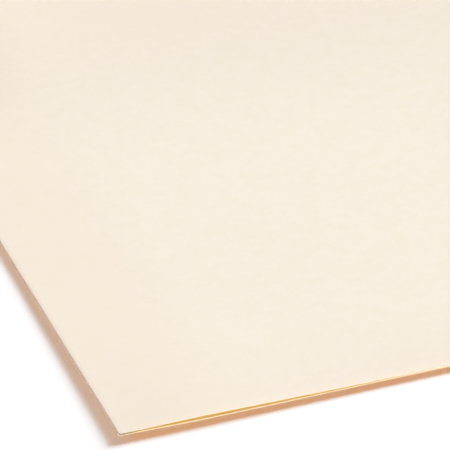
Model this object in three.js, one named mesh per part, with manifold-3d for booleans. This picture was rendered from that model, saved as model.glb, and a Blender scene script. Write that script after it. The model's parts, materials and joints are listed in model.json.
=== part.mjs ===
// Letter size fastener folder of manila stock, lying closed like a book.
// Millimetres, +Z up. The fold runs along Y, the leaves reach towards +X,
// and the two fasteners lie across the far end, one on each leaf.
import * as THREE from 'three';
import Module from 'manifold-3d';
import { mergeVertices } from 'three/addons/utils/BufferGeometryUtils.js';

const wasm = await Module();
wasm.setup();

// Leaves
const FOLD_LENGTH = 298.45;
const BACK_WIDTH = 228.6;
const FRONT_SETBACK = 6.35;
const STOCK = 0.28;
const LEAF_CORNER = 9.5;
const FOLD_GAP = 0.4;
const FOLD_PRESSED_GAP = 0.12;
const FOLD_RELAXED_LENGTH = 110;
const CLOSED_GAP = 0.08;
const FOLD_SEAM = 0.02;

// Tab on the back leaf's open edge, with its second ply
const TAB_HEIGHT = 12.7;
const TAB_LENGTH = 99.5;
const TAB_START = 99.5;
const TAB_FOOT_RADIUS = 6;
const TAB_CORNER_RADIUS = 11;
const PLY = 0.28;
const PLY_INSET = 1;

// Lie of the closed folder: its near corner by the fold stands off the table,
// the near edge gapes a little beside the fold, and both leaves swell past that mouth
const CORNER_LIFT = 1.72;
const LIFT_REACH_ALONG = 314;
const LIFT_REACH_ACROSS = 275;
const LIFT_BLEND = 0.048;
const MOUTH_PEAK = 26;
const MOUTH_END = 106;
const MOUTH_DEPTH = 70;
const MOUTH_BULGE = 0.45;
const MOUTH_JUT = 0.5;
const SWELL = 0.27;
const SWELL_REACH = 62;
const SWELL_DEPTH = 120;
const FOLD_EASE = 35;
const RISE_START = 150;

// Fastener: base strip with two prongs, bonding patch, compressor bar and slides
const PRONG_SPACING = 69.85;
const FASTENER_FROM_FOLD = 114.3;
const FASTENER_FROM_END = 22;
const STEEL = 0.3;
const PRONG_WIDTH = 3.2;
const PRONG_LENGTH = 25.4;
const BASE_WIDTH = 8.5;
const BASE_SHOULDER = 5;
const BEND_RADIUS = 0.2;
const PATCH_OVERHANG = 15;
const PATCH_WIDTH = 22;
const PATCH_PAPER = 0.2;
const PATCH_CORNER = 3;
const PATCH_SLOPE = 1.6;
const PATCH_MARGIN = 0.6;
const BAR_STEEL = 0.35;
const BAR_WIDTH = 9;
const BAR_OVERHANG = 8.5;
const BAR_RAIL = 0.75;
const BAR_FOOT = 4;
const BAR_JOGGLE = 2;
const BAR_CLEAR_UNDER = 0.52;
const SLIDE_STEEL = 0.22;
const SLIDE_LENGTH = 8;
const SLIDE_PARK = 4.5;
const SLIDE_LIP = 1.2;
const SLIDE_BEAD = 0.15;
const SLIDE_BEADS = 3;
const SLIDE_BEAD_PITCH = 1.6;

// Clearances
const GLUE = 0.02;
const HINGE_CLEARANCE = 0.02;
const PRONG_CLEARANCE = 0.05;
const SLIDE_CLEARANCE = 0.06;
const SLOT_CLEARANCE = 0.3;
const FACING_CLEARANCE = 0.3;
const PATCH_ROOM = 3.5;

// Heights in a fastener, counted from the inner face of its leaf
const BASE_TOP = GLUE + STEEL;
const PATCH_TOP = BASE_TOP + GLUE + PATCH_PAPER;
const RIM_TOP = GLUE + PATCH_PAPER;
const BAR_UNDER = PATCH_TOP + BAR_CLEAR_UNDER;
const BAR_TOP = BAR_UNDER + BAR_STEEL;
const RAIL_TOP = BAR_UNDER + BAR_RAIL;
const HINGE_HEIGHT = BAR_TOP + PRONG_CLEARANCE + STEEL / 2;
const PRONG_TOP = HINGE_HEIGHT + STEEL / 2;
const SLIDE_UNDER = Math.max(RAIL_TOP, PRONG_TOP) + SLIDE_CLEARANCE;
const SLIDE_TOP = SLIDE_UNDER + SLIDE_STEEL;
const FASTENER_HEIGHT = SLIDE_TOP + SLIDE_BEAD;

// Plan sizes and places that follow from the sizes above
const FRONT_WIDTH = BACK_WIDTH - FRONT_SETBACK;
const PATCH_LENGTH = PRONG_SPACING + 2 * PATCH_OVERHANG;
const FASTENER_Y = FOLD_LENGTH - FASTENER_FROM_END;
const FLAT_X = FASTENER_FROM_FOLD - PATCH_LENGTH / 2 - PATCH_ROOM;
const FLAT_Y = FASTENER_Y - PATCH_WIDTH / 2 - PATCH_ROOM;
const RISE = 2 * FASTENER_HEIGHT + FACING_CLEARANCE - CLOSED_GAP;
const FOLD_CENTRE = STOCK + FOLD_GAP / 2;

// Facets
const ARC_STEPS = 6;
const BEND_STEPS = 12;
const FOLD_ROWS = 10;
const ROW_PITCH = 10;
const LEAF_COLUMNS = 18;
const COLUMN_CROWDING = 1.5;

const smooth = (t) => {
  const c = THREE.MathUtils.clamp(t, 0, 1);
  return c * c * (3 - 2 * c);
};
const fade = (distance, reach) => 1 - smooth(distance / reach);

// Height of the lifted corner: a plane that eases into the flat far part
function cornerLiftAt(x, y) {
  const s = 1 - x / LIFT_REACH_ACROSS - y / LIFT_REACH_ALONG;
  if (s <= -LIFT_BLEND) return 0;
  if (s >= LIFT_BLEND) return CORNER_LIFT * s;
  return CORNER_LIFT * (s + LIFT_BLEND) ** 2 / (4 * LIFT_BLEND);
}

// The swell lies along the near edge, centred where the mouth ends
const swellAt = (x, y) =>
  SWELL * fade(Math.abs(x - MOUTH_END), SWELL_REACH) * fade(y, SWELL_DEPTH);

// Height of the back leaf's underside over the table
const liftAt = (x, y) => cornerLiftAt(x, y) + swellAt(x, y);

// The fold springs open at its near end and is pressed closer further in
const foldGapAt = (y) =>
  FOLD_PRESSED_GAP + (FOLD_GAP - FOLD_PRESSED_GAP) * fade(y, FOLD_RELAXED_LENGTH);

// Share of the mouth's full opening at a place: 0 at the fold and at the mouth's end
function mouthAt(x, y) {
  const along = x < MOUTH_PEAK
    ? smooth(x / MOUTH_PEAK)
    : fade(x - MOUTH_PEAK, MOUTH_END - MOUTH_PEAK);
  return along * fade(y, MOUTH_DEPTH);
}

// Space between the leaves: the fold's gap dies away towards the open edge, sooner inside
// the folder than along its near edge, where the front leaf also bulges
function gapAt(x, y) {
  const inner = fade(x, FOLD_EASE);
  const along = THREE.MathUtils.clamp(1 - x / MOUTH_END, 0, 1);
  const share = inner + (along - inner) * fade(y, MOUTH_DEPTH);
  return CLOSED_GAP + (foldGapAt(y) - CLOSED_GAP) * share + MOUTH_BULGE * mouthAt(x, y);
}

// The front leaf rises at the far end to clear the fasteners, steepest near the fold
function riseAt(x, y) {
  const short = 1 - THREE.MathUtils.clamp(x / FLAT_X, 0, 1);
  return RISE * smooth(1 - short * short) * smooth((y - RISE_START) / (FLAT_Y - RISE_START));
}

const backTop = (x, y) => liftAt(x, y) + STOCK;
const frontUnderside = (x, y) => backTop(x, y) + gapAt(x, y) + riseAt(x, y);

// The back leaf's near edge juts out a little under the mouth
const jutAt = (x, y) => -MOUTH_JUT * mouthAt(x, y);

// Points on an arc from angle a0 to a1, both in degrees
function arc(cx, cy, radius, a0, a1) {
  const points = [];
  for (let i = 0; i <= ARC_STEPS; i += 1) {
    const a = THREE.MathUtils.degToRad(a0 + ((a1 - a0) * i) / ARC_STEPS);
    points.push([cx + radius * Math.cos(a), cy + radius * Math.sin(a)]);
  }
  return points;
}

// Open edge of a plain leaf, from its near end to its far end
function plainEdge(width) {
  const r = LEAF_CORNER;
  return [
    ...arc(width - r, r, r, -90, 0),
    ...arc(width - r, FOLD_LENGTH - r, r, 0, 90),
  ];
}

// Open edge with the tab: each shoulder is a foot arc that runs into a corner arc
function tabEdge(width) {
  const reach = TAB_FOOT_RADIUS + TAB_CORNER_RADIUS;
  const turn = THREE.MathUtils.radToDeg(Math.acos(1 - TAB_HEIGHT / reach));
  const shoulder = reach * Math.sin(THREE.MathUtils.degToRad(turn));
  const tabEnd = TAB_START + TAB_LENGTH;
  const footX = width + TAB_FOOT_RADIUS;
  const cornerX = width + TAB_HEIGHT - TAB_CORNER_RADIUS;
  const plain = plainEdge(width);
  return [
    ...plain.slice(0, ARC_STEPS + 1),
    ...arc(footX, TAB_START, TAB_FOOT_RADIUS, 180, 180 - turn),
    ...arc(cornerX, TAB_START + shoulder, TAB_CORNER_RADIUS, -turn, 0),
    ...arc(cornerX, tabEnd - shoulder, TAB_CORNER_RADIUS, 0, turn),
    ...arc(footX, tabEnd, TAB_FOOT_RADIUS, 180 + turn, 180),
    ...plain.slice(ARC_STEPS + 1),
  ];
}

// Place of an edge, a list of points in order of y, at any y
function edgeAt(edge, y) {
  for (let i = 1; i < edge.length; i += 1) {
    const [x0, y0] = edge[i - 1];
    const [x1, y1] = edge[i];
    if (y <= y1 && y1 > y0) return x0 + ((x1 - x0) * (y - y0)) / (y1 - y0);
  }
  return edge.at(-1)[0];
}

// Rows of a sheet: every point of its edge, and steps of the row pitch between them
function rowsOf(edge) {
  const rows = [edge[0][1]];
  for (const [, y] of edge) {
    const last = rows.at(-1);
    const steps = Math.ceil((y - last) / ROW_PITCH - 1e-6);
    if (y - last < 1e-3) continue;
    for (let i = 1; i <= steps; i += 1) rows.push(last + ((y - last) * i) / steps);
  }
  return rows;
}

// Closed sheet of even thickness over rows in y and columns in x, whose points may shift in y
function sheet(rows, columnsAt, undersideAt, thickness, shiftAt = () => 0) {
  const count = columnsAt(rows[0]).length;
  const positions = [];
  for (const y of rows) {
    for (const x of columnsAt(y)) {
      const z = undersideAt(x, y);
      const shifted = y + shiftAt(x, y);
      positions.push(x, shifted, z, x, shifted, z + thickness);
    }
  }
  const index = [];
  const at = (row, column, side) => 2 * (row * count + column) + side;
  const quad = (a, b, c, d) => index.push(a, b, c, a, c, d);
  for (let r = 0; r + 1 < rows.length; r += 1) {
    for (let c = 0; c + 1 < count; c += 1) {
      quad(at(r, c, 1), at(r, c + 1, 1), at(r + 1, c + 1, 1), at(r + 1, c, 1));
      quad(at(r, c, 0), at(r + 1, c, 0), at(r + 1, c + 1, 0), at(r, c + 1, 0));
    }
    quad(at(r, 0, 0), at(r, 0, 1), at(r + 1, 0, 1), at(r + 1, 0, 0));
    quad(at(r, count - 1, 0), at(r + 1, count - 1, 0), at(r + 1, count - 1, 1), at(r, count - 1, 1));
  }
  for (let c = 0; c + 1 < count; c += 1) {
    const last = rows.length - 1;
    quad(at(0, c, 0), at(0, c + 1, 0), at(0, c + 1, 1), at(0, c, 1));
    quad(at(last, c, 0), at(last, c, 1), at(last, c + 1, 1), at(last, c + 1, 0));
  }
  const geometry = new THREE.BufferGeometry();
  geometry.setAttribute('position', new THREE.Float32BufferAttribute(positions, 3));
  geometry.setIndex(index);
  return geometry;
}

// Leaf from the fold to its open edge, with columns crowded towards the fold
function leafSheet(edge, undersideAt, shiftAt) {
  const columnsAt = (y) => {
    const right = edgeAt(edge, y);
    return Array.from({ length: LEAF_COLUMNS + 1 }, (_, i) =>
      FOLD_SEAM + (right - FOLD_SEAM) * (i / LEAF_COLUMNS) ** COLUMN_CROWDING);
  };
  return sheet(rowsOf(edge), columnsAt, undersideAt, STOCK, shiftAt);
}

// Second ply of the tab, bonded on the back leaf beside the front leaf's edge
function tabPly() {
  const edge = tabEdge(BACK_WIDTH);
  const left = FRONT_WIDTH + PLY_INSET;
  const start = LEAF_CORNER;
  const end = FOLD_LENGTH - LEAF_CORNER;
  const inner = edge.filter(([, y]) => y > start && y < end);
  const rows = rowsOf([[0, start], ...inner, [0, end]]);
  const columnsAt = (y) => {
    const right = edgeAt(edge, y);
    return [left, (left + right) / 2, right];
  };
  return sheet(rows, columnsAt, (x, y) => backTop(x, y) + GLUE, PLY);
}

// Half round bend that joins the two leaves, following the fold's lift and gap
function spineFold() {
  const outer = FOLD_CENTRE;
  const inner = FOLD_GAP / 2;
  const section = new THREE.Shape();
  section.absarc(0, 0, outer, Math.PI / 2, (3 * Math.PI) / 2, false);
  section.absarc(0, 0, inner, (3 * Math.PI) / 2, Math.PI / 2, true);
  section.closePath();
  const geometry = new THREE.ExtrudeGeometry(section, {
    depth: FOLD_LENGTH,
    steps: FOLD_ROWS,
    bevelEnabled: false,
    curveSegments: BEND_STEPS,
  });
  const points = geometry.getAttribute('position');
  for (let i = 0; i < points.count; i += 1) {
    const y = FOLD_LENGTH - points.getZ(i);
    const radius = Math.hypot(points.getX(i), points.getY(i));
    const tighter = (FOLD_GAP - foldGapAt(y)) / 2;
    const scale = (radius - tighter) / radius;
    const centre = STOCK + foldGapAt(y) / 2 + liftAt(0, y);
    points.setXYZ(i, points.getX(i) * scale, y, points.getY(i) * scale + centre);
  }
  return geometry;
}

function toSolid(geometry) {
  const plain = geometry.clone();
  plain.deleteAttribute('normal');
  plain.deleteAttribute('uv');
  const merged = mergeVertices(plain, 1e-5);
  return new wasm.Manifold(new wasm.Mesh({
    numProp: 3,
    vertProperties: merged.getAttribute('position').array,
    triVerts: new Uint32Array(merged.getIndex().array),
  }));
}

function toGeometry(solid) {
  const mesh = solid.getMesh();
  const geometry = new THREE.BufferGeometry();
  geometry.setAttribute('position', new THREE.Float32BufferAttribute(mesh.vertProperties, 3));
  geometry.setIndex(Array.from(mesh.triVerts));
  return geometry;
}

function box(x0, x1, y0, y1, z0, z1) {
  const geometry = new THREE.BoxGeometry(x1 - x0, y1 - y0, z1 - z0);
  geometry.translate((x0 + x1) / 2, (y0 + y1) / 2, (z0 + z1) / 2);
  return toSolid(geometry);
}

// Upright prism over a rectangle with round corners, centred on the origin
function roundedPlan(length, width, radius, z0, z1) {
  const x = length / 2 - radius;
  const y = width / 2 - radius;
  const plan = new THREE.Shape();
  plan.absarc(x, y, radius, 0, Math.PI / 2, false);
  plan.absarc(-x, y, radius, Math.PI / 2, Math.PI, false);
  plan.absarc(-x, -y, radius, Math.PI, 1.5 * Math.PI, false);
  plan.absarc(x, -y, radius, 1.5 * Math.PI, 2 * Math.PI, false);
  const geometry = new THREE.ExtrudeGeometry(plan, {
    depth: z1 - z0,
    bevelEnabled: false,
    curveSegments: ARC_STEPS,
  });
  geometry.translate(0, 0, z0);
  return toSolid(geometry);
}

// Prism of a shape drawn in x and z, centred on y
function alongY(shape, width) {
  const geometry = new THREE.ExtrudeGeometry(shape, {
    depth: width,
    bevelEnabled: false,
    curveSegments: ARC_STEPS,
  });
  geometry.rotateX(Math.PI / 2);
  geometry.translate(0, width / 2, 0);
  return toSolid(geometry);
}

// Prism of a shape drawn in y and z, centred on x
function alongX(shape, length) {
  const geometry = new THREE.ExtrudeGeometry(shape, {
    depth: length,
    bevelEnabled: false,
    curveSegments: ARC_STEPS,
  });
  geometry.rotateX(Math.PI / 2);
  geometry.rotateZ(Math.PI / 2);
  geometry.translate(-length / 2, 0, 0);
  return toSolid(geometry);
}

// Base: a strip bent up at both ends into risers, widened between them
function fastenerBase() {
  const outer = PRONG_SPACING / 2 + STEEL / 2;
  const inner = outer - STEEL;
  const top = HINGE_HEIGHT - STEEL / 2 - HINGE_CLEARANCE;
  const round = BEND_RADIUS + STEEL;
  const bend = new THREE.Shape();
  bend.moveTo(-outer, top);
  bend.absarc(-outer + round, GLUE + round, round, Math.PI, 1.5 * Math.PI, false);
  bend.absarc(outer - round, GLUE + round, round, 1.5 * Math.PI, 2 * Math.PI, false);
  bend.lineTo(outer, top);
  bend.lineTo(inner, top);
  bend.absarc(inner - BEND_RADIUS, BASE_TOP + BEND_RADIUS, BEND_RADIUS, 0, -Math.PI / 2, true);
  bend.absarc(BEND_RADIUS - inner, BASE_TOP + BEND_RADIUS, BEND_RADIUS, 1.5 * Math.PI, Math.PI, true);
  bend.lineTo(-inner, top);
  bend.closePath();
  const strip = alongY(bend, PRONG_WIDTH);
  const plateLength = PRONG_SPACING - 2 * BASE_SHOULDER;
  const plate = roundedPlan(plateLength, BASE_WIDTH, BASE_WIDTH / 3, GLUE, BASE_TOP);
  return strip.add(plate);
}

// Paper patch that bonds the base down: raised over the base, flat on the leaf around it
function bondingPatch() {
  const hatX = PRONG_SPACING / 2 + STEEL / 2 + PATCH_MARGIN;
  const hatY = BASE_WIDTH / 2 + PATCH_MARGIN;
  const xs = [PATCH_LENGTH / 2, hatX + PATCH_SLOPE, hatX];
  const ys = [PATCH_WIDTH / 2, hatY + PATCH_SLOPE, hatY];
  const mirrored = (half) => [...half.map((v) => -v), ...half.slice().reverse()];
  const undersideAt = (x, y) => {
    const high = Math.abs(x) <= hatX + 1e-6 && Math.abs(y) <= hatY + 1e-6;
    return high ? BASE_TOP + GLUE : GLUE;
  };
  const hat = toSolid(sheet(mirrored(ys), () => mirrored(xs), undersideAt, PATCH_PAPER));
  const plan = roundedPlan(PATCH_LENGTH, PATCH_WIDTH, PATCH_CORNER, -1, PATCH_TOP + 1);
  return hat.intersect(plan).subtract(prongSlots(0, PATCH_TOP + 1));
}

// Two slots around the risers
function prongSlots(z0, z1) {
  const x = PRONG_SPACING / 2;
  const dx = STEEL / 2 + SLOT_CLEARANCE;
  const dy = PRONG_WIDTH / 2 + SLOT_CLEARANCE;
  return box(x - dx, x + dx, -dy, dy, z0, z1).add(box(-x - dx, -x + dx, -dy, dy, z0, z1));
}

// Compressor bar: a channel with low side rails and joggled feet at its ends
function compressorBar() {
  const half = PRONG_SPACING / 2 + BAR_OVERHANG;
  const railEnd = half - BAR_FOOT - BAR_JOGGLE;
  const y = BAR_WIDTH / 2;
  const foot = RIM_TOP + GLUE;
  const side = new THREE.Shape();
  side.moveTo(-half, foot);
  side.lineTo(-half + BAR_FOOT, foot);
  side.lineTo(-railEnd, BAR_UNDER);
  side.lineTo(railEnd, BAR_UNDER);
  side.lineTo(half - BAR_FOOT, foot);
  side.lineTo(half, foot);
  side.lineTo(half, foot + BAR_STEEL);
  side.lineTo(half - BAR_FOOT, foot + BAR_STEEL);
  side.lineTo(railEnd, BAR_TOP);
  side.lineTo(-railEnd, BAR_TOP);
  side.lineTo(-half + BAR_FOOT, foot + BAR_STEEL);
  side.lineTo(-half, foot + BAR_STEEL);
  side.closePath();
  const rail = new THREE.Shape();
  rail.moveTo(y - BAR_STEEL, BAR_UNDER);
  rail.lineTo(y, BAR_UNDER);
  rail.lineTo(y, RAIL_TOP - BAR_STEEL / 2);
  rail.absarc(y - BAR_STEEL / 2, RAIL_TOP - BAR_STEEL / 2, BAR_STEEL / 2, 0, Math.PI, false);
  rail.closePath();
  const right = alongX(rail, 2 * railEnd);
  const left = right.mirror([0, 1, 0]);
  const plan = roundedPlan(2 * half, BAR_WIDTH, BAR_WIDTH / 3, -1, RAIL_TOP + 1);
  return alongY(side, BAR_WIDTH)
    .intersect(plan)
    .add(right)
    .add(left)
    .subtract(prongSlots(0, BAR_TOP + 1));
}

// Prong folded flat towards +X, with its round root on the origin
function prong() {
  const r = STEEL / 2;
  const side = new THREE.Shape();
  side.absarc(0, 0, r, Math.PI / 2, 1.5 * Math.PI, false);
  side.lineTo(PRONG_LENGTH, -r);
  side.lineTo(PRONG_LENGTH, r);
  side.closePath();
  const plan = roundedPlan(2 * PRONG_LENGTH, PRONG_WIDTH, PRONG_WIDTH / 2, -1, 1);
  return alongY(side, PRONG_WIDTH).intersect(plan);
}

// Slide: a strip wrapped round the bar, with finger beads across its top
function slide() {
  const inner = BAR_WIDTH / 2 + SLIDE_CLEARANCE;
  const outer = inner + SLIDE_STEEL;
  const lipTop = BAR_UNDER - SLIDE_CLEARANCE;
  const lipUnder = lipTop - SLIDE_STEEL;
  const lipEdge = inner - SLIDE_LIP;
  const r = SLIDE_STEEL;
  const wrap = new THREE.Shape();
  wrap.moveTo(lipEdge, lipUnder);
  wrap.absarc(outer - r, lipUnder + r, r, -Math.PI / 2, 0, false);
  wrap.absarc(outer - r, SLIDE_TOP - r, r, 0, Math.PI / 2, false);
  wrap.absarc(r - outer, SLIDE_TOP - r, r, Math.PI / 2, Math.PI, false);
  wrap.absarc(r - outer, lipUnder + r, r, Math.PI, 1.5 * Math.PI, false);
  wrap.lineTo(-lipEdge, lipUnder);
  wrap.lineTo(-lipEdge, lipTop);
  wrap.lineTo(-inner, lipTop);
  wrap.lineTo(-inner, SLIDE_UNDER);
  wrap.lineTo(inner, SLIDE_UNDER);
  wrap.lineTo(inner, lipTop);
  wrap.lineTo(lipEdge, lipTop);
  wrap.closePath();
  let body = alongX(wrap, SLIDE_LENGTH);
  const bead = new THREE.Shape();
  bead.absarc(0, SLIDE_TOP, SLIDE_BEAD, 0, Math.PI, false);
  bead.lineTo(-SLIDE_BEAD, SLIDE_TOP - SLIDE_STEEL / 2);
  bead.lineTo(SLIDE_BEAD, SLIDE_TOP - SLIDE_STEEL / 2);
  bead.closePath();
  const ridge = alongY(bead, BAR_WIDTH - 2 * SLIDE_LIP);
  for (let i = 0; i < SLIDE_BEADS; i += 1) {
    body = body.add(ridge.translate([(i - (SLIDE_BEADS - 1) / 2) * SLIDE_BEAD_PITCH, 0, 0]));
  }
  return body;
}

const manila = () => new THREE.MeshStandardMaterial({ color: 0xf6ecdb, roughness: 0.85, metalness: 0 });
const patchPaper = () => new THREE.MeshStandardMaterial({ color: 0xe9d3a6, roughness: 0.9, metalness: 0 });
const plated = () => new THREE.MeshStandardMaterial({ color: 0xb9bcc0, roughness: 0.35, metalness: 1 });

function named(name, geometry, material) {
  geometry.computeVertexNormals();
  const mesh = new THREE.Mesh(geometry, material);
  mesh.name = name;
  return mesh;
}

// One fastener on its leaf: z counts from the leaf's inner face into the folder
function fastener(leaf) {
  const group = new THREE.Group();
  group.add(named(`${leaf}_fastener_base`, toGeometry(fastenerBase()), plated()));
  group.add(named(`${leaf}_bonding_patch`, toGeometry(bondingPatch()), patchPaper()));
  group.add(named(`${leaf}_compressor_bar`, toGeometry(compressorBar()), plated()));
  for (const [side, sign] of [['left', -1], ['right', 1]]) {
    const bent = named(`${leaf}_prong_${side}`, toGeometry(prong()), plated());
    bent.position.set((sign * PRONG_SPACING) / 2, 0, HINGE_HEIGHT);
    bent.rotation.z = sign > 0 ? Math.PI : 0;
    group.add(bent);
    const lock = named(`${leaf}_slide_${side}`, toGeometry(slide()), plated());
    lock.position.x = sign * SLIDE_PARK;
    group.add(lock);
  }
  return group;
}

const folder = new THREE.Group();
folder.add(named('back_leaf', leafSheet(tabEdge(BACK_WIDTH), liftAt, jutAt), manila()));
folder.add(named('front_leaf', leafSheet(plainEdge(FRONT_WIDTH), frontUnderside), manila()));
folder.add(named('spine_fold', spineFold(), manila()));
folder.add(named('tab_ply', tabPly(), manila()));

const backFastener = fastener('back');
backFastener.position.set(FASTENER_FROM_FOLD, FASTENER_Y, STOCK);
folder.add(backFastener);

const frontFastener = fastener('front');
frontFastener.rotation.x = Math.PI;
frontFastener.position.set(FASTENER_FROM_FOLD, FASTENER_Y, STOCK + CLOSED_GAP + RISE);
folder.add(frontFastener);

// The origin is the middle of the footprint, on the table
const group = new THREE.Group();
folder.position.set(-(BACK_WIDTH + TAB_HEIGHT - FOLD_CENTRE) / 2, -FOLD_LENGTH / 2, 0);
group.add(folder);

export default group;
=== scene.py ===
# %% [markdown]
# # A fastener folder of manila stock
#
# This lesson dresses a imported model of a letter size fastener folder. The model already
# holds every piece at its real size: two leaves, the fold between them, a reinforced tab,
# and on each leaf a patch, a base strip, a compressor bar, two prongs and two slides.
# Blender's part is the look: paper that glows a little at its cut edges, stamped and
# plated steel, a plain table, soft light, and the camera.

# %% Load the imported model
import json
import math

import bpy
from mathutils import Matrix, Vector


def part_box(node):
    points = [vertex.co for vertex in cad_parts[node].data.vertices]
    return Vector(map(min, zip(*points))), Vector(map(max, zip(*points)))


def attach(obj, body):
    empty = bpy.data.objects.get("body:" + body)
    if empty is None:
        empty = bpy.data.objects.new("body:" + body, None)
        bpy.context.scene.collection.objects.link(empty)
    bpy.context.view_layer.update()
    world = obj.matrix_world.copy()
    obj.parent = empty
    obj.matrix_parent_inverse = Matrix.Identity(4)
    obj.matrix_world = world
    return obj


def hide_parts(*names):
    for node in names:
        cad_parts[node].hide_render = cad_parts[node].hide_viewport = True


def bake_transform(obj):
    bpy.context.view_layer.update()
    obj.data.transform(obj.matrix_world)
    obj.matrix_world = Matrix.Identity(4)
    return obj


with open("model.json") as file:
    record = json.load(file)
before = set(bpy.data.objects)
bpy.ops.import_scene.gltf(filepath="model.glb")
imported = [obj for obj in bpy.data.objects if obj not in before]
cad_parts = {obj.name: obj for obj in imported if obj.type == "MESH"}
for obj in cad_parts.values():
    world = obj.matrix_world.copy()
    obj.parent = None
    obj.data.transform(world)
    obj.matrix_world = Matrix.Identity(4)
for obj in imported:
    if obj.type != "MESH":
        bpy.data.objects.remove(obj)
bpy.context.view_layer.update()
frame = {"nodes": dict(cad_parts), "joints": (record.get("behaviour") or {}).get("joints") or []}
MM = 0.001

# %% [markdown]
# The camera comes first, because everything else is judged through it. The photo is a close
# view of the corner where the fold meets the near edge. Its place in the picture, the
# directions of the two edges and the thickness of the paper settle the view: a long lens,
# 33 degrees above the table, turned 20 degrees to the left of the fold.

# %% Camera
PHOTO_SIZE = 450
CORNER_PIXEL = (118.8, 433.7)
PIXELS_PER_METRE = 3300
CAMERA_DISTANCE = 1.4
CAMERA_AZIMUTH = math.radians(-20.4)
CAMERA_ELEVATION = math.radians(32.7)
SENSOR_WIDTH = 36
NEAREST, FARTHEST = 0.05, 50


def towards(azimuth, elevation):
    """Unit vector from the object to a viewer: azimuth 0 is in front, 90 at the right."""
    flat = math.cos(elevation)
    return Vector((math.sin(azimuth) * flat, -math.cos(azimuth) * flat, math.sin(elevation)))


def add_camera():
    """Long lens that puts the near end of the fold at its pixel in the photo."""
    spine_low, spine_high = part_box("spine_fold")
    corner = Vector((spine_low.x / 2 + spine_high.x / 2, spine_low.y, spine_high.z))
    data = bpy.data.cameras.new("photo_camera")
    camera = bpy.data.objects.new("photo_camera", data)
    bpy.context.scene.collection.objects.link(camera)
    data.sensor_width = SENSOR_WIDTH
    data.lens = PIXELS_PER_METRE * CAMERA_DISTANCE * SENSOR_WIDTH / PHOTO_SIZE
    data.clip_start, data.clip_end = NEAREST, FARTHEST
    back = towards(CAMERA_AZIMUTH, CAMERA_ELEVATION)
    turn = back.to_track_quat("Z", "Y")
    right = (CORNER_PIXEL[0] - PHOTO_SIZE / 2) / PIXELS_PER_METRE
    up = (PHOTO_SIZE / 2 - CORNER_PIXEL[1]) / PIXELS_PER_METRE
    camera.rotation_mode = "QUATERNION"
    camera.rotation_quaternion = turn
    camera.location = corner - turn @ Vector((right, up, -CAMERA_DISTANCE))
    bpy.context.scene.camera = camera
    print("camera at", [round(v, 3) for v in camera.location], "lens", round(data.lens, 1))


add_camera()
bpy.context.scene.view_settings.view_transform = "Standard"

# %% [markdown]
# The folder lies on a white table under a broad key light from behind and to the right. It
# is made of two lamps, the weaker one higher up, so the shadow beside the fold fades in
# slowly, while the one in front of the near edge stays crisp. A third lamp from low in front
# reaches the cut edges and the side of the fold. The lamps are suns with wide discs, so the
# light is the same all over the sheet. Their strengths are given as shares of the light on a
# level surface, which add up to one.

# %% Lamps
KEY_DIRECTION = Vector((2.05, 0.98, 1.0)).normalized()
KEY_SHARE = 0.64
HIGH_DIRECTION = Vector((1.15, 0.98, 1.0)).normalized()
HIGH_SHARE = 0.26
KEY_DISC = math.radians(24)
FRONT_DIRECTION = Vector((-0.6, -0.79, 0.14)).normalized()
FRONT_SHARE = 0.1
FRONT_DISC = math.radians(16)


def add_lamp(name, direction, share, disc):
    """Broad sun that gives a level surface its share of full light."""
    lamp = bpy.data.lights.new(name, "SUN")
    lamp.energy = math.pi * share / direction.z
    lamp.angle = disc
    sun = bpy.data.objects.new(name, lamp)
    bpy.context.scene.collection.objects.link(sun)
    sun.rotation_mode = "QUATERNION"
    sun.rotation_quaternion = direction.to_track_quat("Z", "Y")
    sun.location = direction
    print(name, round(lamp.energy, 2), "from", [round(v, 2) for v in direction])


add_lamp("key_light", KEY_DIRECTION, KEY_SHARE, KEY_DISC)
add_lamp("high_key_light", HIGH_DIRECTION, HIGH_SHARE, KEY_DISC)
add_lamp("front_light", FRONT_DIRECTION, FRONT_SHARE, FRONT_DISC)

# %% [markdown]
# The surroundings add a little light from all round, but are plain white where they are
# seen, so a Light Path node tells the one from the other. Shader nodes for a sum or a range
# come back in nearly every material. Each is written once as a helper that adds its node
# and gives back the socket to go on from.

# %% Surroundings
ROUND_SHARE = 0.05


def worked_out(nodes, links, operation, *given):
    """Result of a Math node; each input is a socket or a number."""
    node = nodes.new("ShaderNodeMath")
    node.operation = operation
    for place, value in zip(node.inputs, given):
        if isinstance(value, (int, float)):
            place.default_value = value
        else:
            links.new(value, place)
    return node.outputs[0]


def remapped(nodes, links, value, low, high):
    """Value from 0 to 1 spread from low to high."""
    spread = nodes.new("ShaderNodeMapRange")
    spread.inputs["To Min"].default_value = low
    spread.inputs["To Max"].default_value = high
    links.new(value, spread.inputs["Value"])
    return spread.outputs["Result"]


def seen_directly(nodes, links):
    """1 for rays that show the backdrop itself: camera, glossy and transmission rays."""
    path = nodes.new("ShaderNodeLightPath")
    total = path.outputs["Is Camera Ray"]
    for name in ("Is Glossy Ray", "Is Transmission Ray"):
        total = worked_out(nodes, links, "MAXIMUM", total, path.outputs[name])
    return total


def add_world():
    """Weak light from all round that is plain white where it is seen."""
    world = bpy.data.worlds.new("studio")
    bpy.context.scene.world = world
    world.use_nodes = True
    nodes, links = world.node_tree.nodes, world.node_tree.links
    background = nodes["Background"]
    background.inputs["Color"].default_value = (1, 1, 1, 1)
    strength = remapped(nodes, links, seen_directly(nodes, links), ROUND_SHARE, 1)
    links.new(strength, background.inputs["Strength"])
    print("world gives", ROUND_SHARE, "of full light from all round")


add_world()

# %% [markdown]
# Seen directly, table and surroundings are plain white. The shadow on the table is warm,
# because much of the light in it has come through or off the manila: pinkish brown beside
# the fold and more golden in front of the gap. A faint glow of that colour goes into the
# table's material, and its diffuse colour is lowered by as much, so full light stays white.

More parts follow.
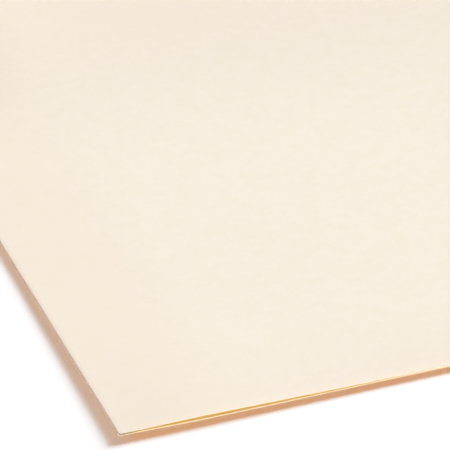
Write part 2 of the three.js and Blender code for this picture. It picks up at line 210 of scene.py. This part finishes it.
# %% Table
TABLE_SIZE = 40
NEAR_GLOW = (0.54, 0.17, 0.0)
SIDE_GLOW = (0.485, 0.275, 0.165)
FULL_LIGHT = 1.02
TINT_TURN = (-2 * MM, 8 * MM)
TABLE_COLOR = (0.8, 0.8, 0.8)


def mask_between(nodes, links, value, at_zero, at_one):
    """Smooth step of a value from 0 to 1 between two places."""
    step = nodes.new("ShaderNodeMapRange")
    step.interpolation_type = "SMOOTHSTEP"
    step.inputs["From Min"].default_value = at_zero
    step.inputs["From Max"].default_value = at_one
    links.new(value, step.inputs["Value"])
    return step.outputs["Result"]


def mixed(nodes, links, factor, first, second):
    """Colour that goes from the first to the second; each is a socket or a plain colour."""
    mix = nodes.new("ShaderNodeMix")
    mix.data_type = "RGBA"
    links.new(factor, mix.inputs["Factor"])
    for name, given in (("A", first), ("B", second)):
        if isinstance(given, tuple):
            mix.inputs[name].default_value = (*given, 1)
        else:
            links.new(given, mix.inputs[name])
    return mix.outputs["Result"]


def place_parts(nodes, links):
    """X and Y of the Object coordinates."""
    place = nodes.new("ShaderNodeTexCoord")
    parts = nodes.new("ShaderNodeSeparateXYZ")
    links.new(place.outputs["Object"], parts.inputs[0])
    return parts.outputs["X"], parts.outputs["Y"]


def add_table():
    """Large white plane whose shadow is warm where it is seen directly."""
    bpy.ops.object.select_all(action="DESELECT")
    bpy.ops.mesh.primitive_plane_add(size=TABLE_SIZE, location=(0, 0, 0))
    table = bpy.context.active_object
    table.name = table.data.name = "table"
    material = bpy.data.materials.new("white_table")
    material.use_nodes = True
    nodes, links = material.node_tree.nodes, material.node_tree.links
    nodes.clear()
    # the tint turns from the side's to the near edge's round the corner of the folder
    x = place_parts(nodes, links)[0]
    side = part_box("spine_fold")[0].x
    turn = mask_between(nodes, links, x, side + TINT_TURN[0], side + TINT_TURN[1])
    side_lit = tuple(FULL_LIGHT - v for v in SIDE_GLOW)
    near_lit = tuple(FULL_LIGHT - v for v in NEAR_GLOW)
    glow = nodes.new("ShaderNodeEmission")
    links.new(mixed(nodes, links, turn, SIDE_GLOW, NEAR_GLOW), glow.inputs["Color"])
    lit = nodes.new("ShaderNodeBsdfDiffuse")
    links.new(mixed(nodes, links, turn, side_lit, near_lit), lit.inputs["Color"])
    seen = nodes.new("ShaderNodeAddShader")
    links.new(glow.outputs[0], seen.inputs[0])
    links.new(lit.outputs[0], seen.inputs[1])
    plain = nodes.new("ShaderNodeBsdfDiffuse")
    plain.inputs["Color"].default_value = (*TABLE_COLOR, 1)
    choose = nodes.new("ShaderNodeMixShader")
    links.new(seen_directly(nodes, links), choose.inputs[0])
    links.new(plain.outputs[0], choose.inputs[1])
    links.new(seen.outputs[0], choose.inputs[2])
    output = nodes.new("ShaderNodeOutputMaterial")
    links.new(choose.outputs[0], output.inputs["Surface"])
    table.data.materials.append(material)
    print("table:", TABLE_SIZE, "m wide,", len(nodes), "nodes in its material")


add_table()

# %% [markdown]
# Manila is a smooth, dense stock dyed all through. From a step away it is one even cream,
# but it has a cloudy formation a few millimetres across, short fibres, and a fine tooth
# that the light catches. One node group makes those three, and every paper here uses it
# with its own values. It reads Object coordinates, which stay with each piece when the
# folder opens.

# %% Paper node group
# each noise: features per metre, levels of detail, share of the finer levels
CLOUD = (260, 3, 0.9)
FIBRE = (2600, 4, 0.65)
TOOTH = (5200, 3, 0.6)
NOISE_MIDDLE = 0.5
FIBRE_STRETCH = (1, 0.35, 1)
SHADE_SHARE = 0.1
FIBRE_IN_HEIGHT = 0.6
PAPER_ROUGHNESS = (0.72, 0.95)
PLAIN_STOCK = (0.9, 0.8, 0.7)
PLAIN_SHADE = (0.8, 0.7, 0.5)
PLAIN_WEIGHT = 0.2


def socket(tree, name, way, kind, value=None):
    """Named input or output of a node group."""
    made = tree.interface.new_socket(name, in_out=way, socket_type=kind)
    if value is not None:
        made.default_value = value
    return made


def noise(nodes, links, vector, scale, detail, roughness):
    """Value of a Noise Texture, from 0 to 1."""
    texture = nodes.new("ShaderNodeTexNoise")
    texture.inputs["Scale"].default_value = scale
    texture.inputs["Detail"].default_value = detail
    texture.inputs["Roughness"].default_value = roughness
    links.new(vector, texture.inputs["Vector"])
    return texture.outputs["Fac"]


def make_paper_group():
    """Cloud, fibre and tooth of a paper as colour, roughness and height."""
    tree = bpy.data.node_groups.new("paper_stock", "ShaderNodeTree")
    socket(tree, "Color", "INPUT", "NodeSocketColor", (*PLAIN_STOCK, 1))
    socket(tree, "Shade", "INPUT", "NodeSocketColor", (*PLAIN_SHADE, 1))
    socket(tree, "Cloud", "INPUT", "NodeSocketFloat", PLAIN_WEIGHT)
    socket(tree, "Fibre", "INPUT", "NodeSocketFloat", PLAIN_WEIGHT)
    socket(tree, "Color", "OUTPUT", "NodeSocketColor")
    socket(tree, "Roughness", "OUTPUT", "NodeSocketFloat")
    socket(tree, "Height", "OUTPUT", "NodeSocketFloat")
    nodes, links = tree.nodes, tree.links
    given, result = nodes.new("NodeGroupInput"), nodes.new("NodeGroupOutput")
    place = nodes.new("ShaderNodeTexCoord").outputs["Object"]
    cloud = noise(nodes, links, place, *CLOUD)
    stretched = nodes.new("ShaderNodeMapping")
    stretched.inputs["Scale"].default_value = FIBRE_STRETCH
    links.new(place, stretched.inputs["Vector"])
    fibre = noise(nodes, links, stretched.outputs[0], *FIBRE)
    tooth = noise(nodes, links, place, *TOOTH)

    # both noises vary about their middle, so they darken one spot and clear the next
    factor = SHADE_SHARE
    for value, weight in ((cloud, given.outputs["Cloud"]), (fibre, given.outputs["Fibre"])):
        centred = worked_out(nodes, links, "SUBTRACT", value, NOISE_MIDDLE)
        factor = worked_out(nodes, links, "MULTIPLY_ADD", centred, weight, factor)
    color = mixed(nodes, links, factor, given.outputs["Color"], given.outputs["Shade"])
    links.new(color, result.inputs["Color"])
    links.new(remapped(nodes, links, fibre, *PAPER_ROUGHNESS), result.inputs["Roughness"])
    height = worked_out(nodes, links, "MULTIPLY_ADD", fibre, FIBRE_IN_HEIGHT, tooth)
    links.new(height, result.inputs["Height"])
    print("paper group:", len(nodes), "nodes")
    return tree


PAPER = make_paper_group()

# %% [markdown]
# Light goes a short way into card and comes out again a little further on, warmer than it
# went in. On the open face that changes little: a small share of Translucent beside the
# Principled shader lets some light through to the other side. A cut edge is only a quarter
# of a millimetre thick, so it glows, and it fills the gap between the leaves with golden
# light. Those spots get a weak emission of their own, each with its own tint.

# %% Paper materials
MANILA = (0.918, 0.846, 0.730)
# painted shade of the outer face: warmer and darker towards the fold and short edges, where the light
# falls off
MANILA_FALLOFF_SHADE = (0.912, 0.813, 0.697)
# painted light where the leaf bows up beside the far part of the fold and turns from the key light
MANILA_BOW_LIGHT = (0.948, 0.846, 0.725)
MANILA_SHADE = (0.87, 0.77, 0.60)
# painted shade beside the crease, where the leaf rolls over into the fold; also the top of the bend
MANILA_CREASE_SHADE = (0.871, 0.760, 0.655)
# painted warm bounce light and shade on the side of the bend
MANILA_BEND_SHADE_AND_BOUNCE = (0.92, 0.68, 0.54)
MANILA_CORE = (0.97, 0.89, 0.71)
# painted shade: a darker gold inside the gap between the leaves
MANILA_GAP_SHADE = (0.82, 0.68, 0.40)
FRONT_EDGE_GLOW = (0.19, 0.22, 0.23)
BACK_EDGE_GLOW = (0.38, 0.26, 0.11)
# painted glow on the side of the bend
BEND_GLOW = (0.07, 0.035, 0.02)
# painted highlight on the jutting lip of the back leaf
LIP_GLOW = (0.30, 0.20, 0.10)
# painted gold light inside the gap
MOUTH_GLOW = (0.24, 0.15, 0.03)
NO_GLOW = (0.0, 0.0, 0.0)
KRAFT = (0.80, 0.62, 0.38)
KRAFT_SHADE = (0.60, 0.42, 0.22)
# each look: weight of the cloud, weight of the fibres, bump, share of light let through
FACE_LOOK = (1.1, 0.12, 0.4, 0.08)
EDGE_LOOK = (0.3, 0.6, 0.6, 0.2)
KRAFT_LOOK = (0.5, 0.9, 0.8, 0.1)
GLOW_FROM_FOLD = (0.5 * MM, 9 * MM)
GLOW_AT_FOLD = 0.25
TOOTH_DEPTH = 0.02 * MM
PAPER_SPECULAR = 0.25
FRONT_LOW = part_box("front_leaf")[0]


def glow_from_fold(nodes, links, x, glow):
    """Glow that is dull where the sheets are pressed together at the fold."""
    fold = FRONT_LOW.x
    full = mask_between(nodes, links, x, fold + GLOW_FROM_FOLD[0], fold + GLOW_FROM_FOLD[1])
    return mixed(nodes, links, full, tuple(v * GLOW_AT_FOLD for v in glow), glow)


def paper_material(name, color, shade, cloud, fibre, bump, through):
    """Paper with its stock group; returns the material with its group node and shader."""
    material = bpy.data.materials.new(name)
    material.use_nodes = True
    nodes, links = material.node_tree.nodes, material.node_tree.links
    shader = nodes["Principled BSDF"]
    stock = nodes.new("ShaderNodeGroup")
    stock.node_tree = PAPER
    stock.inputs["Color"].default_value = (*color, 1)
    stock.inputs["Shade"].default_value = (*shade, 1)
    stock.inputs["Cloud"].default_value = cloud
    stock.inputs["Fibre"].default_value = fibre
    links.new(stock.outputs["Color"], shader.inputs["Base Color"])
    links.new(stock.outputs["Roughness"], shader.inputs["Roughness"])
    relief = nodes.new("ShaderNodeBump")
    relief.inputs["Strength"].default_value = bump
    relief.inputs["Distance"].default_value = TOOTH_DEPTH
    links.new(stock.outputs["Height"], relief.inputs["Height"])
    links.new(relief.outputs["Normal"], shader.inputs["Normal"])
    shader.inputs["Specular IOR Level"].default_value = PAPER_SPECULAR
    passing = nodes.new("ShaderNodeBsdfTranslucent")
    links.new(stock.outputs["Color"], passing.inputs["Color"])
    links.new(relief.outputs["Normal"], passing.inputs["Normal"])
    both = nodes.new("ShaderNodeMixShader")
    both.inputs[0].default_value = through
    links.new(shader.outputs[0], both.inputs[1])
    links.new(passing.outputs[0], both.inputs[2])
    links.new(both.outputs[0], nodes["Material Output"].inputs["Surface"])
    return material, stock, shader


def edge_material(name, glow):
    """Cut edge of a leaf: the pale core of the stock, rough from the blade and glowing."""
    material, _, shader = paper_material(name, MANILA_CORE, MANILA_SHADE, *EDGE_LOOK)
    nodes, links = material.node_tree.nodes, material.node_tree.links
    x = place_parts(nodes, links)[0]
    links.new(glow_from_fold(nodes, links, x, glow), shader.inputs["Emission Color"])
    shader.inputs["Emission Strength"].default_value = 1
    return material


FRONT_EDGE = edge_material("manila_front_edge", FRONT_EDGE_GLOW)
BACK_EDGE = edge_material("manila_back_edge", BACK_EDGE_GLOW)
KRAFT_PAPER = paper_material("kraft_patch", KRAFT, KRAFT_SHADE, *KRAFT_LOOK)[0]
print("paper materials:", FRONT_EDGE.name, BACK_EDGE.name, KRAFT_PAPER.name)

# %% [markdown]
# The outside of a leaf gets painted light and shade. It is painted a little warmer and darker
# beside the fold and near the short edges than in the middle, where the light falls off,
# painted paler again where the leaf bows up beside the far part of the fold and turns from the
# key light, and painted darker next to the crease, where the leaf rolls over into the fold.
# Smooth steps of the Object coordinates mix those tones, which are plain colours going into
# the paper group.

# %% Outer faces
# reaches of the painted shade and painted light on the outer face
FALLOFF_SHADE_BY_FOLD = (20 * MM, 50 * MM)
FALLOFF_SHADE_BY_END = (-25 * MM, 45 * MM)
FALLOFF_SHADE_INWARD = (245 * MM, 160 * MM)
BOW_LIGHT_BY_FOLD = (70 * MM, 35 * MM)
BOW_LIGHT_INWARD = (140 * MM, 190 * MM)
# reach of the painted shade beside the crease
CREASE_SHADE_BESIDE_FOLD = (1.7 * MM, 0.2 * MM)


def face_material():
    """Outer face of a leaf: painted shade towards the fold and the short edges, painted light where
    it bows up, painted shade at the crease.
    """
    material, stock, _ = paper_material("manila_face", MANILA, MANILA_SHADE, *FACE_LOOK)
    nodes, links = material.node_tree.nodes, material.node_tree.links
    x, y = place_parts(nodes, links)
    fold, end = FRONT_LOW.x, FRONT_LOW.y
    # painted shade towards the fold and the short edges
    unshaded = mask_between(nodes, links, x, fold + FALLOFF_SHADE_BY_FOLD[0], fold + FALLOFF_SHADE_BY_FOLD[1])
    for reach in (FALLOFF_SHADE_BY_END, FALLOFF_SHADE_INWARD):
        other = mask_between(nodes, links, y, end + reach[0], end + reach[1])
        unshaded = worked_out(nodes, links, "MULTIPLY", unshaded, other)
    # painted light where the leaf bows up beside the far part of the fold
    beside = mask_between(nodes, links, x, fold + BOW_LIGHT_BY_FOLD[0], fold + BOW_LIGHT_BY_FOLD[1])
    inward = mask_between(nodes, links, y, end + BOW_LIGHT_INWARD[0], end + BOW_LIGHT_INWARD[1])
    pale = worked_out(nodes, links, "MULTIPLY", beside, inward)
    warm = mixed(nodes, links, pale, MANILA_FALLOFF_SHADE, MANILA_BOW_LIGHT)
    falloff_shaded = mixed(nodes, links, unshaded, warm, MANILA)
    # painted shade next to the crease, where the leaf rolls over into the fold
    crease = mask_between(nodes, links, x, fold + CREASE_SHADE_BESIDE_FOLD[0], fold + CREASE_SHADE_BESIDE_FOLD[1])
    links.new(mixed(nodes, links, crease, falloff_shaded, MANILA_CREASE_SHADE), stock.inputs["Color"])
    return material


MANILA_FACE = face_material()
print("outer faces:", MANILA_FACE.name)

# %% [markdown]
# The inside gets none of the outside's painted shade. The first millimetres behind the near
# edge are painted a darker gold with a gold glow, for the light that comes through the card
# into the gap, and the lip of the back leaf that juts out of the stack gets a paler colour and
# a painted highlight.

# %% Inner faces
# depth of the painted gold light and shade behind the near edge
MOUTH_GLOW_DEPTH = 3 * MM
LIP_BLUR = 0.1 * MM


def inner_material():
    """Inside face of a leaf: painted gold light and shade in the near mouth, a painted highlight
    where its rim juts out of it.
    """
    material, stock, shader = paper_material("manila_inner", MANILA, MANILA_SHADE, *FACE_LOOK)
    nodes, links = material.node_tree.nodes, material.node_tree.links
    x, y = place_parts(nodes, links)
    end = FRONT_LOW.y
    mouth = mask_between(nodes, links, y, end + MOUTH_GLOW_DEPTH, end + MOUTH_GLOW_DEPTH / 2)
    lip = mask_between(nodes, links, y, end + LIP_BLUR, end - LIP_BLUR)
    # painted shade: a darker gold in the gap behind the near edge
    gap_shaded = mixed(nodes, links, mouth, stock.outputs["Color"], MANILA_GAP_SHADE)
    # painted highlight: the jutting lip is given the pale core colour
    links.new(mixed(nodes, links, lip, gap_shaded, MANILA_CORE), shader.inputs["Base Color"])
    # painted gold light in the gap and a painted highlight on the lip
    gold = glow_from_fold(nodes, links, x, MOUTH_GLOW)
    rim = glow_from_fold(nodes, links, x, LIP_GLOW)
    glow = mixed(nodes, links, mouth, NO_GLOW, gold)
    links.new(mixed(nodes, links, lip, glow, rim), shader.inputs["Emission Color"])
    shader.inputs["Emission Strength"].default_value = 1
    return material


MANILA_INNER = inner_material()
print("inner faces:", MANILA_INNER.name)

# %% [markdown]
# The fasteners are stamped from thin plated strip. The rolling leaves fine lines along the
# strip and the plating dulls them, so the reflection is soft and a little drawn out. A
# noise stretched along the strip gives those lines to the roughness and to a shallow bump.

# %% Steel material
STEEL = (0.74, 0.75, 0.77)
STEEL_DULL, STEEL_BRIGHT = 0.86, 1.08
# as for paper: features per metre, levels of detail, share of the finer levels
LINES = (9000, 3, 0.6)
HAZE = (350, 3, 0.5)
LINES_STRETCH = (0.04, 1, 1)
STEEL_ROUGHNESS = (0.24, 0.46)
LINES_DEPTH = 0.01 * MM
LINES_BUMP = 0.25


def steel_material():
    """Plated steel with fine rolling lines along the strip."""
    material = bpy.data.materials.new("plated_steel")
    material.use_nodes = True
    nodes, links = material.node_tree.nodes, material.node_tree.links
    shader = nodes["Principled BSDF"]
    shader.inputs["Metallic"].default_value = 1
    place = nodes.new("ShaderNodeTexCoord").outputs["Object"]
    drawn = nodes.new("ShaderNodeMapping")
    drawn.inputs["Scale"].default_value = LINES_STRETCH
    links.new(place, drawn.inputs["Vector"])
    lines = noise(nodes, links, drawn.outputs[0], *LINES)
    haze = noise(nodes, links, place, *HAZE)
    links.new(remapped(nodes, links, lines, *STEEL_ROUGHNESS), shader.inputs["Roughness"])
    dull = tuple(v * STEEL_DULL for v in STEEL)
    bright = tuple(v * STEEL_BRIGHT for v in STEEL)
    links.new(mixed(nodes, links, haze, dull, bright), shader.inputs["Base Color"])
    relief = nodes.new("ShaderNodeBump")
    relief.inputs["Strength"].default_value = LINES_BUMP
    relief.inputs["Distance"].default_value = LINES_DEPTH
    links.new(lines, relief.inputs["Height"])
    links.new(relief.outputs["Normal"], shader.inputs["Normal"])
    return material


PLATED = steel_material()
print("steel material:", PLATED.name)

# %% [markdown]
# The leaves and the tab's second ply have the right shape already, but as loose triangles
# with flat shading. A merged copy of each is turned to quads, its sharp rim is creased, and
# a Subdivision Surface smooths what lies between. Top, underside and cut edges each get
# their own material.

# %% Paper sheets
RIM_ANGLE = math.radians(40)
UPRIGHT = 0.5
LEAF_LEVELS, PLY_LEVELS = 2, 1
MERGE = 0.0002 * MM


def only(piece):
    """Makes one object the only one selected, and active."""
    bpy.ops.object.select_all(action="DESELECT")
    piece.select_set(True)
    bpy.context.view_layer.objects.active = piece


def merged_copy(node, name):
    """Copy of a CAD node with its loose triangles merged."""
    source = frame["nodes"][node]
    piece = bpy.data.objects.new(name, source.data.copy())
    piece.data.name = name
    bpy.context.scene.collection.objects.link(piece)
    only(piece)
    if piece.data.has_custom_normals:
        bpy.ops.mesh.customdata_custom_splitnormals_clear()
    piece.data.materials.clear()
    bpy.ops.object.mode_set(mode="EDIT")
    bpy.ops.mesh.select_all(action="SELECT")
    bpy.ops.mesh.remove_doubles(threshold=MERGE)
    bpy.ops.object.mode_set(mode="OBJECT")
    return piece


def smooth_sheet(node, name, body, levels, top, under, edge):
    """Smooth sheet in place of a CAD node: material of its top, its underside and its cut edges."""
    piece = merged_copy(node, name)
    bpy.ops.object.mode_set(mode="EDIT")
    bpy.ops.mesh.select_all(action="SELECT")
    bpy.ops.mesh.tris_convert_to_quads(face_threshold=RIM_ANGLE, shape_threshold=math.pi)
    bpy.ops.mesh.select_all(action="DESELECT")
    bpy.ops.mesh.select_mode(type="EDGE")
    bpy.ops.mesh.edges_select_sharp(sharpness=RIM_ANGLE)
    bpy.ops.transform.edge_crease(value=1)
    bpy.ops.object.mode_set(mode="OBJECT")
    for material in (top, under, edge):
        piece.data.materials.append(material)
    for polygon in piece.data.polygons:
        if abs(polygon.normal.z) < UPRIGHT:
            polygon.material_index = 2
        else:
            polygon.material_index = 0 if polygon.normal.z > 0 else 1
    modifier = piece.modifiers.new("smooth", "SUBSURF")
    modifier.levels = modifier.render_levels = levels
    bpy.ops.object.modifier_apply(modifier="smooth")
    bpy.ops.object.shade_smooth_by_angle(angle=RIM_ANGLE)
    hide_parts(node)
    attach(piece, body)
    print(name, len(piece.data.polygons), "faces")


smooth_sheet("front_leaf", "front_leaf_sheet", "front_panel", LEAF_LEVELS,
             MANILA_FACE, MANILA_INNER, FRONT_EDGE)
smooth_sheet("back_leaf", "back_leaf_sheet", "back_panel", LEAF_LEVELS,
             MANILA_INNER, MANILA_FACE, BACK_EDGE)
smooth_sheet("tab_ply", "tab_ply_sheet", "back_panel", PLY_LEVELS,
             MANILA_FACE, MANILA_FACE, BACK_EDGE)

# %% [markdown]
# The bonding patches are flat kraft paper. Their CAD meshes need no smoothing, only the
# darker paper material.

# %% Patches
for leaf in ("back", "front"):
    patch = frame["nodes"][f"{leaf}_bonding_patch"]
    patch.data.materials.clear()
    patch.data.materials.append(KRAFT_PAPER)
    print(patch.name, "is kraft paper")

# %% [markdown]
# The fold is one half round bend along the whole spine, pressed tighter at its near end, and
# its line climbs a little towards the near corner. An attribute holds how far round the bend
# each point lies, measured about the cover hinge, so that the material can paint warm bounce
# light, shade and a faint glow from the top to the side.

# %% Fold
# where round the bend the painted bounce light, shade and glow come in
BEND_WARMTH = (0.06, 0.3)


def bend_material():
    """Outside of the fold: the crease's painted shade at the top, painted warm bounce light, shade
    and glow round the bend.
    """
    material, stock, shader = paper_material("manila_fold", MANILA, MANILA_SHADE, *FACE_LOOK)
    nodes, links = material.node_tree.nodes, material.node_tree.links
    around = nodes.new("ShaderNodeAttribute")
    around.attribute_name = "around_bend"
    # painted warm bounce light, shade and glow round the bend
    warm = mask_between(nodes, links, around.outputs["Fac"], *BEND_WARMTH)
    links.new(mixed(nodes, links, warm, MANILA_CREASE_SHADE, MANILA_BEND_SHADE_AND_BOUNCE), stock.inputs["Color"])
    links.new(mixed(nodes, links, warm, NO_GLOW, BEND_GLOW), shader.inputs["Emission Color"])
    shader.inputs["Emission Strength"].default_value = 1
    return material


def make_fold():
    """Bend between the leaves: a merged copy of the CAD fold, holding how far round the bend each
    point lies.
    """
    piece = merged_copy("spine_fold", "spine_bend")
    piece.data.materials.append(bend_material())
    bpy.ops.object.shade_smooth_by_angle(angle=RIM_ANGLE)
    cover = next(j for j in frame["joints"] if j["name"] == "cover_hinge")
    axis = Vector(cover["axis"]).normalized()
    centre = Vector(cover["pos_m"])
    across = axis.cross(Vector((1, 0, 0))).normalized()
    if across.z < 0:
        across.negate()
    # share of the way round the bend, from its upper seam (0) to its lower one (1)
    around = piece.data.attributes.new("around_bend", "FLOAT", "POINT")
    for vertex in piece.data.vertices:
        away = vertex.co - centre
        around.data[vertex.index].value = math.atan2(-away.x, away.dot(across)) / math.pi
    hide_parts("spine_fold")
    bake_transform(piece)


make_fold()

# %% [markdown]
# Stamped steel never has a knife edge. Each strip piece is a merged copy of its CAD node
# with its flat faces dissolved to whole ones and a narrow Bevel on every sharp edge, which
# catches the light as the real pieces do.

# %% Steel pieces
STRIP_BEVEL = 0.05 * MM
BEVEL_SEGMENTS = 2
SHARP_ANGLE = math.radians(30)
FLAT_ANGLE = math.radians(1)


def strip_piece(node, name, body):
    """Stamped piece with rounded edges in place of a CAD node."""
    piece = merged_copy(node, name)
    bpy.ops.object.mode_set(mode="EDIT")
    bpy.ops.mesh.select_all(action="SELECT")
    bpy.ops.mesh.dissolve_limited(angle_limit=FLAT_ANGLE)
    bpy.ops.object.mode_set(mode="OBJECT")
    piece.data.materials.append(PLATED)
    bevel = piece.modifiers.new("rounded", "BEVEL")
    bevel.width = STRIP_BEVEL
    bevel.segments = BEVEL_SEGMENTS
    bevel.limit_method = "ANGLE"
    bevel.angle_limit = SHARP_ANGLE
    bevel.use_clamp_overlap = True
    bpy.ops.object.modifier_apply(modifier="rounded")
    bpy.ops.object.shade_smooth_by_angle(angle=SHARP_ANGLE)
    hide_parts(node)
    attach(piece, body)


for leaf in ("back", "front"):
    strip_piece(f"{leaf}_fastener_base", f"{leaf}_base_strip", f"{leaf}_panel")
    strip_piece(f"{leaf}_compressor_bar", f"{leaf}_bar_strip", f"{leaf}_panel")
    for side in ("left", "right"):
        strip_piece(f"{leaf}_prong_{side}", f"{leaf}_prong_{side}_strip", f"{leaf}_prong_{side[0]}")
        strip_piece(f"{leaf}_slide_{side}", f"{leaf}_slide_{side}_strip", f"{leaf}_slide_{side[0]}")
print("steel pieces: 12")
